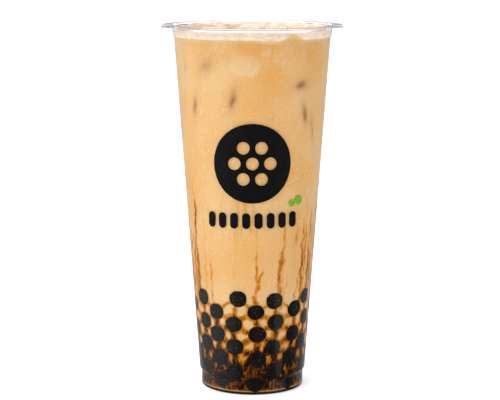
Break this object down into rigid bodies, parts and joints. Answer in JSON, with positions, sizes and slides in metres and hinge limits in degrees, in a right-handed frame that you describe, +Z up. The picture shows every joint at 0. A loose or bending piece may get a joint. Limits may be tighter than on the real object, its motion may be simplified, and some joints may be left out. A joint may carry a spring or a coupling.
{
  "type": "bubble tea",
  "caption": "Iced milk tea with dark tapioca pearls in a tall, tapered clear plastic cup with a flat rim, open at the top.",
  "frame": {"origin": "centre of the cup's base, on the surface that it stands on", "axes": "+Z up along the cup's axis, -Y towards the front, where the cup carries its print, +X to the right seen from the front"},
  "size_m": [0.09, 0.09, 0.182],
  "materials": {
    "clear_plastic": "clear, polished moulding",
    "milk_tea": "wet, opaque, with brown sugar marbling",
    "tapioca": "wet, near black",
    "ice": "wet ice, coated with milk tea"
  },
  "bodies": {
    "root": {"cup": "clear_plastic", "milk_tea": "milk_tea", "pearls": "tapioca", "ice_1": "ice", "ice_2": "ice", "ice_3": "ice", "ice_4": "ice", "ice_5": "ice", "ice_6": "ice"}
  },
  "joints": []
}
